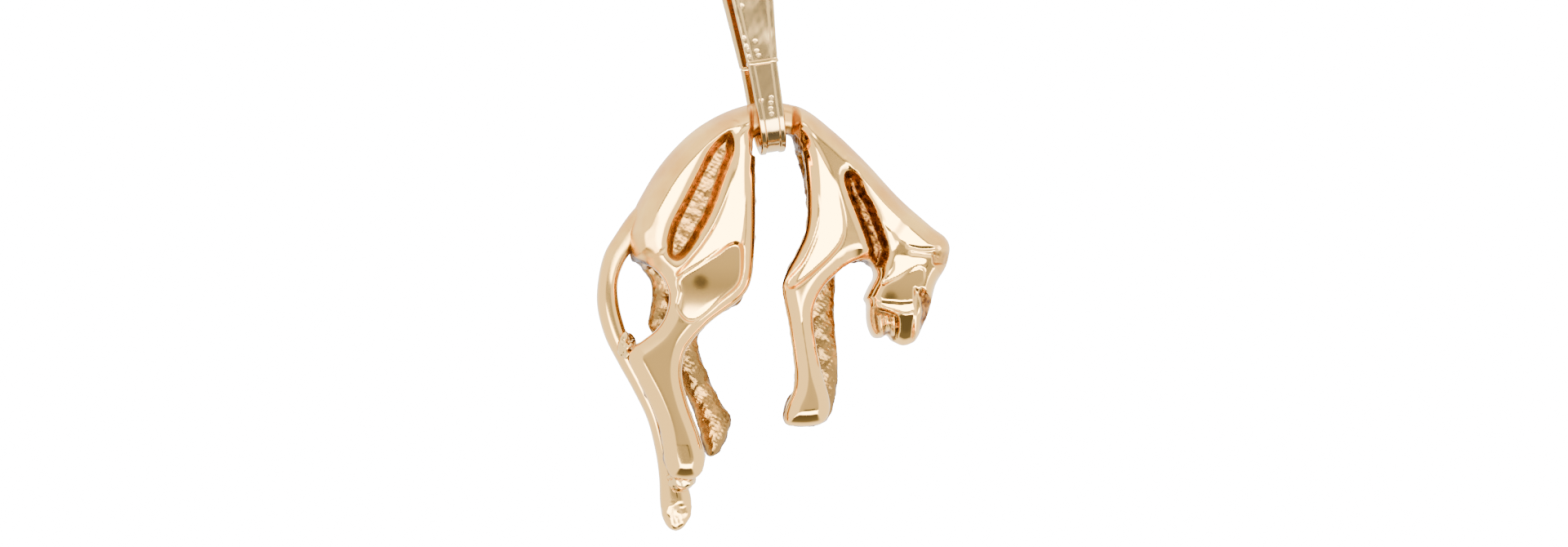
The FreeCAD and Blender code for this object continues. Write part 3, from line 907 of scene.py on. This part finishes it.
# ---------------------------------------------------------------- bail
@dataclass(frozen=True)
class Strip:
    """A bent gold strip, one of the bail's two pieces, in the bail's own upright frame.

    Turn is 1 for an arc over the top and -1 for an arc underneath. Rim is the radius of the
    strip's edges, and border the width of the raised band along each of them. A ding is its
    place across and up the front face, and its radius.
    """

    name: str
    node: str
    turn: int
    arc_height: float
    arc_gap: float
    foot_height: float
    foot_gap: float
    arc_width: float
    foot_width: float
    dings: Sequence[tuple[float, float, float]]
    thick: float = 0.46
    rim: float = 0.11
    border: float = 0.30
    border_fall: float = 0.07
    raised: float = 0.075
    ding_deep: float = 0.07
    outer_count: int = 41
    inner_count: int = 21

    def line(self) -> np.ndarray:
        """The strip's inner line: a straight leg, a half circle and a straight leg.

        Returns:
            Rows (y, z) from the front foot round to the rear foot.
        """
        t = np.linspace(0, 1, 150, endpoint=False)[:, None]
        foot = np.array([-self.foot_gap, self.foot_height])
        knee = np.array([-self.arc_gap, self.arc_height])
        leg = foot + (knee - foot) * t
        a = np.linspace(np.pi, 0, 90)
        arc = np.stack([self.arc_gap * np.cos(a),
                        self.arc_height + self.turn * self.arc_gap * np.sin(a)], 1)
        back = leg[::-1] * np.array([-1, 1])
        return np.vstack([leg, arc, back])

    def section(self, wide: np.ndarray) -> tuple[np.ndarray, np.ndarray]:
        """The strip's rounded section with two raised borders on its outer face.

        With e the distance in from an edge, both faces fall away by
        rim (1 - sqrt(1 - (1 - e / rim)^2)) within a rim of it.

        Args:
            wide: the strip's width at each place along it.

        Returns:
            Across and outward positions, each (places, section points): the outer face
            from side to side, then the inner face back again.
        """
        u = np.concatenate([np.linspace(-1, 1, self.outer_count),
                            np.linspace(1, -1, self.inner_count)[1:-1]])
        across = wide[:, None] / 2 * u
        edge = wide[:, None] / 2 - np.abs(across)
        corner = np.sqrt(1 - np.clip(1 - edge / self.rim, 0, 1) ** 2)
        inner = self.rim * (1 - corner)
        outer = self.thick - inner - self.raised * ease((edge - self.border)
                                                        / self.border_fall)
        return across, np.where(np.arange(len(u)) < self.outer_count, outer, inner)

    def build(self) -> bpy.types.Object:
        """Carries the section along the line and presses the dings into the outer face.

        Returns:
            The strip's mesh object.
        """
        line = self.line()
        ahead = np.gradient(line, axis=0)
        ahead /= np.linalg.norm(ahead, axis=1)[:, None]
        out = np.stack([-ahead[:, 1], ahead[:, 0]], 1) * self.turn
        share = (line[:, 1] - self.foot_height) / (self.arc_height + self.turn * self.arc_gap
                                                   - self.foot_height)
        wide = self.foot_width + (self.arc_width - self.foot_width) * np.clip(share, 0, 1)
        across, height = self.section(wide)
        front = (line[:, 0] < 0)[:, None] & (height > 0.3)
        mark = np.zeros_like(across)
        for x, z, size in self.dings:
            near = np.exp(-((across - x) ** 2 + (line[:, 1, None] - z) ** 2) / size**2)
            mark += near * front
        height = height - self.ding_deep * np.clip(mark, 0, 1)
        y = line[:, 0, None] + out[:, 0, None] * height
        z = line[:, 1, None] + out[:, 1, None] * height
        points = np.stack([across, y, z], -1)
        points += 0.006 * waves(points, 1.6, 3)[..., None]
        rows, columns = across.shape
        flat = points.reshape(-1, 3)
        ends = np.stack([points[0].mean(0), points[-1].mean(0)])
        flat = lean(np.vstack([flat, ends]))
        faces = (grid_faces(rows, columns), fans(rows, columns))
        if self.turn > 0:
            faces = [f[:, ::-1] for f in faces]
        piece = make_mesh(self.name, flat, *faces,
                          marks={"melt": np.append(mark.ravel(), [0, 0])})
        dress(piece, STRIP_GOLD, "bail", self.node)
        return piece


def lean(points: np.ndarray) -> np.ndarray:
    """Turns points from the bail's upright frame about the chain seat by the bail's lean.

    Args:
        points: points (n, 3).

    Returns:
        x cos - z sin and x sin + z cos, y unchanged, for the lean angle.
    """
    c, s = math.cos(LEAN), math.sin(LEAN)
    x, y, z = points.T
    return np.stack([x * c - z * s, y, x * s + z * c], 1)


# ---------------------------------------------------------------- solder
@dataclass(frozen=True)
class SolderBead:
    """A flowed lump of solder: an uneven rounded block."""

    name: str
    node: str
    body: str
    centre: tuple[float, float, float]
    half: tuple[float, float, float]
    seed: int
    square: float
    uneven: float
    melt: float = 0.6
    columns: int = 64
    rows: int = 33

    def build(self) -> bpy.types.Object:
        """Shapes the bead as a squared ellipsoid with seeded unevenness.

        The direction (cos b cos a, cos b sin a, sin b) has each part raised to the power
        square with its sign kept, and is scaled by half.

        Returns:
            The bead's mesh object.
        """
        a = np.linspace(0, 2 * np.pi, self.columns, endpoint=False)
        b = np.linspace(-np.pi / 2, np.pi / 2, self.rows + 2)[1:-1]
        b, a = np.meshgrid(b, a, indexing="ij")
        way = np.stack([np.cos(b) * np.cos(a), np.cos(b) * np.sin(a), np.sin(b)], -1)
        way = np.vstack([way.reshape(-1, 3), [[0, 0, -1], [0, 0, 1]]])
        shape = np.sign(way) * np.abs(way) ** self.square * np.array(self.half)
        swell = 1 + self.uneven * waves(shape + self.seed, 1.0, self.seed)
        points = shape * swell[:, None] + np.array(self.centre)
        placed = lean(points) if self.body == "bail" else points + np.array(SWING)
        piece = make_mesh(self.name, placed, grid_faces(self.rows, self.columns),
                          fans(self.rows, self.columns),
                          marks={"melt": np.full(len(placed), self.melt)})
        dress(piece, SOLDER, self.body, self.node)
        return piece


# ---------------------------------------------------------------- finishes
def srgb(code: str) -> tuple[float, float, float, float]:
    """Linear colour from an sRGB hex code: ((c + 0.055) / 1.055)^2.4 above 0.04045.

    Args:
        code: six hex digits after a hash.

    Returns:
        Red, green, blue and alpha.
    """
    parts = [int(code[i:i + 2], 16) / 255 for i in (1, 3, 5)]
    lin = [c / 12.92 if c <= 0.04045 else ((c + 0.055) / 1.055) ** 2.4 for c in parts]
    return (lin[0], lin[1], lin[2], 1.0)


def add_node(tree: bpy.types.NodeTree, kind: str, feeds: dict[int | str, object],
             output: int | str = 0, **settings: object) -> bpy.types.NodeSocket:
    """Adds a node with its settings and feeds its inputs.

    Args:
        tree: the node tree.
        kind: the node's type name.
        feeds: an output socket or a constant for each input, by name or number.
        output: the output to return, by name or number.
        **settings: the node's own settings.

    Returns:
        The chosen output socket, or the node where it has none.
    """
    made = tree.nodes.new(kind)
    for name, value in settings.items():
        setattr(made, name, value)
    for name, value in feeds.items():
        if isinstance(value, bpy.types.NodeSocket):
            tree.links.new(value, made.inputs[name])
        else:
            made.inputs[name].default_value = value
    return made.outputs[output] if len(made.outputs) else made


@dataclass(frozen=True)
class Gold:
    """A 14 carat gold finish, mixed over a piece by its marks.

    Barrel-polished metal shows everywhere but where a mark says otherwise: rough is the
    lumpy skin left by the investment mould, painted_shade is dark brown painted shade in the
    recesses and corners, satin is brushed, and melt is metal that has flowed. The mould's
    grain is near 0.1 mm and the polishing marks are finer, so both are drawn coarser here, to
    show.
    """

    name: str
    polished: str = "#EDB965"
    satin: str = "#E3A550"
    warm: str = "#F6C368"
    # The cast skin's browns, dark and light, mixed by the grain.
    stain_and_shade: str = "#5C3517"
    stain_light: str = "#BC7E34"
    # The painted shade's colour, for recesses and corners.
    painted_shade: str = "#2A1610"
    shine: float = 0.05
    satin_rough: float = 0.40
    cast_rough: float = 0.34
    melt_rough: float = 0.16
    scratch_mm: float = 0.50
    grain_mm: float = 0.30
    cloud_mm: float = 2.20
    scratch_deep_mm: float = 0.012
    grain_deep_mm: float = 0.050

    def material(self) -> bpy.types.Material:
        """Makes the material on first use.

        Returns:
            The material.
        """
        found = bpy.data.materials.get(self.name)
        if found is not None:
            return found
        mat = bpy.data.materials.new(self.name)
        mat.use_nodes = True
        tree = mat.node_tree
        tree.nodes.clear()
        feeds = {mark: add_node(tree, "ShaderNodeAttribute", {}, "Fac", attribute_name=mark)
                 for mark in ("rough", "satin", "melt", "painted_shade")}
        place = add_node(tree, "ShaderNodeTexCoord", {}, "Object")
        for noise, size, detail in (("grain", self.grain_mm, 5.0),
                                    ("smear", self.scratch_mm, 3.0),
                                    ("cloud", self.cloud_mm, 3.0)):
            feeds[noise] = add_node(tree, "ShaderNodeTexNoise", {
                "Vector": place, "Scale": 1.0 / (size * MM), "Detail": detail})
        shader = add_node(tree, "ShaderNodeBsdfPrincipled", {
            "Base Color": self.colour(tree, feeds),
            "Metallic": 1.0,
            "Roughness": self.roughness(tree, feeds),
            "Normal": self.relief(tree, feeds)})
        add_node(tree, "ShaderNodeOutputMaterial", {"Surface": shader})
        return mat

    def colour(self, tree: bpy.types.NodeTree,
               feeds: dict[str, bpy.types.NodeSocket]) -> bpy.types.NodeSocket:
        """Polished gold, clouded satin gold and stained casting skin under painted shade,
        mixed by the marks.

        Args:
            tree: the node tree.
            feeds: the marks' and noises' sockets by name.

        Returns:
            The base colour.
        """
        patch = add_node(tree, "ShaderNodeMapRange", {
            "Value": feeds["grain"], "From Min": 0.40, "From Max": 0.62})
        cloud = add_node(tree, "ShaderNodeMapRange", {
            "Value": feeds["cloud"], "From Min": 0.35, "From Max": 0.65})
        # Painted shade darkens the skin towards the shade colour, at most 0.85.
        dark = add_node(tree, "ShaderNodeMapRange", {"Value": feeds["painted_shade"], "To Max": 0.85})
        made = {}
        for name, share, first, second in (
                ("skin", patch, srgb(self.stain_and_shade), srgb(self.stain_light)),
                ("skin", dark, "skin", srgb(self.painted_shade)),
                ("sheen", cloud, srgb(self.satin), srgb(self.warm)),
                ("metal", feeds["satin"], srgb(self.polished), "sheen"),
                ("metal", feeds["rough"], "metal", "skin")):
            made[name] = add_node(tree, "ShaderNodeMix", {
                0: share, 6: made.get(first, first), 7: made.get(second, second)}, 2,
                data_type="RGBA")
        return made["metal"]

    def roughness(self, tree: bpy.types.NodeTree,
                  feeds: dict[str, bpy.types.NodeSocket]) -> bpy.types.NodeSocket:
        """Roughness of each finish, varied by the noises and mixed by the marks.

        Args:
            tree: the node tree.
            feeds: the marks' and noises' sockets by name.

        Returns:
            The roughness.
        """
        made = {}
        for name, share, first, second in (
                ("polished", "smear", self.shine, self.shine + 0.05),
                ("brushed", "grain", self.satin_rough - 0.08, self.satin_rough + 0.08),
                ("skin", "grain", self.cast_rough - 0.12, self.cast_rough + 0.16),
                ("metal", "satin", "polished", "brushed"),
                ("metal", "melt", "metal", self.melt_rough),
                ("metal", "rough", "metal", "skin")):
            made[name] = add_node(tree, "ShaderNodeMapRange", {
                "Value": feeds[share], "To Min": made.get(first, first),
                "To Max": made.get(second, second)})
        return made["metal"]

    def relief(self, tree: bpy.types.NodeTree,
               feeds: dict[str, bpy.types.NodeSocket]) -> bpy.types.NodeSocket:
        """Fine polishing marks under the coarser grain of cast skin and solder.

        Args:
            tree: the node tree.
            feeds: the marks' and noises' sockets by name.

        Returns:
            The bumped normal.
        """
        brush = add_node(tree, "ShaderNodeMapRange", {
            "Value": feeds["satin"], "To Min": 0.05, "To Max": 0.30})
        fine = add_node(tree, "ShaderNodeBump", {
            "Height": feeds["smear"], "Strength": brush,
            "Distance": self.scratch_deep_mm * MM})
        ripple = add_node(tree, "ShaderNodeMapRange", {"Value": feeds["melt"], "To Max": 0.35})
        strong = add_node(tree, "ShaderNodeMapRange", {
            "Value": feeds["rough"], "To Min": ripple, "To Max": 0.9})
        return add_node(tree, "ShaderNodeBump", {
            "Height": feeds["grain"], "Strength": strong,
            "Distance": self.grain_deep_mm * MM, "Normal": fine})


# 14 carat yellow gold, lost-wax cast: mirror bright on the faces, satin along the back, and
# brown and grainy in the recesses, where the mould's skin was left, with painted shade in
# them.
CAST_GOLD = Gold("lost_wax_cast_gold")
# 14 carat rolled strip, paler and hand polished, so a little hazy.
STRIP_GOLD = Gold("rolled_gold_strip", polished="#D2AC6E", satin="#D0AC78", shine=0.12)
# Easy-flow gold solder, slightly paler than the casting and rippled where it froze.
SOLDER = Gold("easy_flow_gold_solder", polished="#E6BA6E", shine=0.13)


def dress(piece: bpy.types.Object, finish: Gold, body: str, node: str) -> None:
    """Gives a piece its finish and puts it in the place of its CAD node.

    Args:
        piece: the mesh object.
        finish: the finish.
        body: the CAD body that it rides on.
        node: the CAD node that it stands for.
    """
    piece.data.materials.append(finish.material())
    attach(piece, body)
    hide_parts(node)


# ---------------------------------------------------------------- the pendant
@dataclass(frozen=True)
class Cat:
    """The swinging cat: two cast halves, the tail and its solder."""

    def build(self) -> None:
        """Makes every piece of the cat."""
        CastHalf("cat_near_half", Side.NEAR, "near_half").build()
        CastHalf("cat_far_half", Side.FAR, "far_half").build()
        Tail().build()
        SolderBead("hock_bead", "hock_solder", "panther", centre=(-7.86, -0.62, -12.55),
                   half=(0.46, 0.70, 0.74), seed=21, square=1.0, uneven=0.24).build()
        SolderBead("paw_bead", "paw_solder", "panther", centre=(-4.80, -0.70, -19.90),
                   half=(0.80, 0.72, 0.62), seed=34, square=1.0, uneven=0.18).build()


@dataclass(frozen=True)
class Bail:
    """The bail: a tapered strap, its lower loop and the solder in the seams."""

    crown: float = 1.70
    length: float = 10.60
    seam: float = 7.55
    seam_gap: float = 0.10
    foot_gap: float = 1.45
    strap_dings: Sequence[tuple[float, float, float]] = (
        (-0.83, -6.14, 0.08), (-0.74, -6.60, 0.08), (-0.71, -6.75, 0.08),
        (-0.67, -7.17, 0.07), (-0.23, -6.37, 0.06), (-0.22, -6.92, 0.06),
        (-0.17, -7.16, 0.06), (-0.72, -4.38, 0.09))
    loop_dings: Sequence[tuple[float, float, float]] = (
        (-0.42, -9.67, 0.08), (0.17, -9.58, 0.07), (0.10, -9.86, 0.07),
        (0.04, -10.18, 0.07), (0.04, -10.47, 0.07))

    def build(self) -> None:
        """Makes every piece of the bail."""
        Strip("strap_strip", "bail_strap", turn=1, arc_height=-self.crown,
              arc_gap=self.crown, foot_height=self.seam_gap - self.seam,
              foot_gap=self.foot_gap, arc_width=3.00, foot_width=1.72,
              dings=self.strap_dings).build()
        Strip("loop_strip", "bail_loop", turn=-1, arc_height=-self.length,
              arc_gap=self.foot_gap, foot_height=-self.seam_gap - self.seam,
              foot_gap=self.foot_gap, arc_width=1.40, foot_width=1.62,
              dings=self.loop_dings).build()
        for name, cad, side in (("front_seam_bead", "front_seam_solder", -1),
                                ("rear_seam_bead", "rear_seam_solder", 1)):
            SolderBead(name, cad, "bail", centre=(0, side * 1.69, -self.seam),
                       half=(0.87, 0.27, 0.15), seed=55 + side, square=0.45,
                       uneven=0.06).build()


# ---------------------------------------------------------------- studio
@dataclass(frozen=True)
class Studio:
    """A plain pale floor, a white tent of light and the camera."""

    azimuth: float = -7.0
    elevation: float = -3.0
    distance: float = 0.26
    view_width: float = 0.0864
    centre: tuple[float, float, float] = (0.00262, 0.0, -0.01897)
    level: float = 22.0
    behind: float = 0.13
    beside: float = 0.12
    backdrop: float = 20.0
    card: tuple[float, float, float] = (0.14, -0.99, 0.05)
    card_edge: tuple[float, float] = (0.9992, 0.9996)
    card_level: float = 0.008
    height: Sequence[tuple[float, float]] = (
        (0.00, 0.002), (0.15, 0.004), (0.19, 0.75), (0.30, 1.00), (0.455, 1.00),
        (0.475, 0.070), (0.515, 0.038), (0.56, 0.054), (0.70, 0.07), (0.78, 0.15),
        (0.90, 0.19), (1.00, 0.15))
    depth: Sequence[tuple[float, float]] = ((0.00, 1.0), (0.45, 0.9), (0.62, 0.0))
    across: Sequence[tuple[float, float]] = ((0.26, 1.0), (0.38, 0.0), (0.68, 0.0),
                                             (0.80, 1.0))

    def camera(self) -> None:
        """Makes the camera, looking at the centre from in front, a little left and low."""
        a, e = math.radians(self.azimuth), math.radians(self.elevation)
        back = Vector((math.sin(a) * math.cos(e), -math.cos(a) * math.cos(e), math.sin(e)))
        data = bpy.data.cameras.new("camera")
        data.sensor_width = 36.0
        data.lens = 36.0 * self.distance / self.view_width
        data.clip_start, data.clip_end = 0.01, 10.0
        data.dof.use_dof = False
        camera = bpy.data.objects.new("camera", data)
        camera.location = Vector(self.centre) + back * self.distance
        camera.rotation_euler = (-back).to_track_quat("-Z", "Y").to_euler()
        bpy.context.scene.collection.objects.link(camera)
        bpy.context.scene.camera = camera

    def world(self) -> None:
        """A tent lit by direction: brightest just below the camera's opening, dim at the
        opening, mid-bright above, beside and behind, dark underneath, with a dark card in
        the opening."""
        world = bpy.data.worlds.new("tent")
        world.use_nodes = True
        bpy.context.scene.world = world
        tree = world.node_tree
        tree.nodes.clear()
        way = add_node(tree, "ShaderNodeTexCoord", {}, "Generated")
        level = {}
        for name, axis, stops in (("across", 0, self.across), ("depth", 1, self.depth),
                                  ("height", 2, self.height)):
            part = add_node(tree, "ShaderNodeSeparateXYZ", {0: way}, axis)
            # A ramp's places run from 0 to 1, for directions from -1 to 1.
            place = add_node(tree, "ShaderNodeMapRange", {"Value": part, "From Min": -1.0})
            level[name] = add_node(tree, "ShaderNodeValToRGB", {0: place})
            elements = level[name].node.color_ramp.elements
            while len(elements) < len(stops):
                elements.new(1.0)
            for element, (at, grey) in zip(elements, stops):
                element.position = at
                element.color = (grey, grey, grey, 1.0)
        facing = add_node(tree, "ShaderNodeVectorMath",
                          {0: way, 1: Vector(self.card).normalized()}, "Value",
                          operation="DOT_PRODUCT")
        lit = add_node(tree, "ShaderNodeMapRange", {
            "Value": level["depth"], "To Min": self.behind, "To Max": level["height"]})
        lit = add_node(tree, "ShaderNodeMapRange", {
            "Value": level["across"], "To Min": lit, "To Max": self.beside})
        lit = add_node(tree, "ShaderNodeMapRange", {
            "Value": facing, "From Min": self.card_edge[0], "From Max": self.card_edge[1],
            "To Min": lit, "To Max": self.card_level})
        lit = add_node(tree, "ShaderNodeMapRange", {"Value": lit, "To Max": self.level})
        seen = add_node(tree, "ShaderNodeLightPath", {}, "Is Camera Ray")
        strength = add_node(tree, "ShaderNodeMapRange", {
            "Value": seen, "To Min": lit, "To Max": self.backdrop})
        paper = add_node(tree, "ShaderNodeBackground", {
            "Color": srgb("#FBFCFC"), "Strength": strength})
        add_node(tree, "ShaderNodeOutputWorld", {"Surface": paper})

    def floor(self) -> None:
        """A wide pale floor some way under the pendant, kept out of the gold's reflections."""
        n = np.array([[-1, -1], [1, -1], [1, 1], [-1, 1]], float) * 2500.0
        points = np.column_stack([n, np.full(4, -75.0)])
        floor = make_mesh("floor", points, np.array([[0, 1, 2, 3]]))
        mat = bpy.data.materials.new("floor_paper")
        mat.use_nodes = True
        shader = mat.node_tree.nodes["Principled BSDF"]
        shader.inputs["Base Color"].default_value = srgb("#F1F2F2")
        shader.inputs["Roughness"].default_value = 0.9
        floor.data.materials.append(mat)
        floor.visible_glossy = False


def main() -> None:
    """Builds the pendant, the studio and the camera."""
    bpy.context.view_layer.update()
    Bail().build()
    Cat().build()
    studio = Studio()
    studio.camera()
    studio.world()
    studio.floor()


if __name__ == "__main__":
    main()
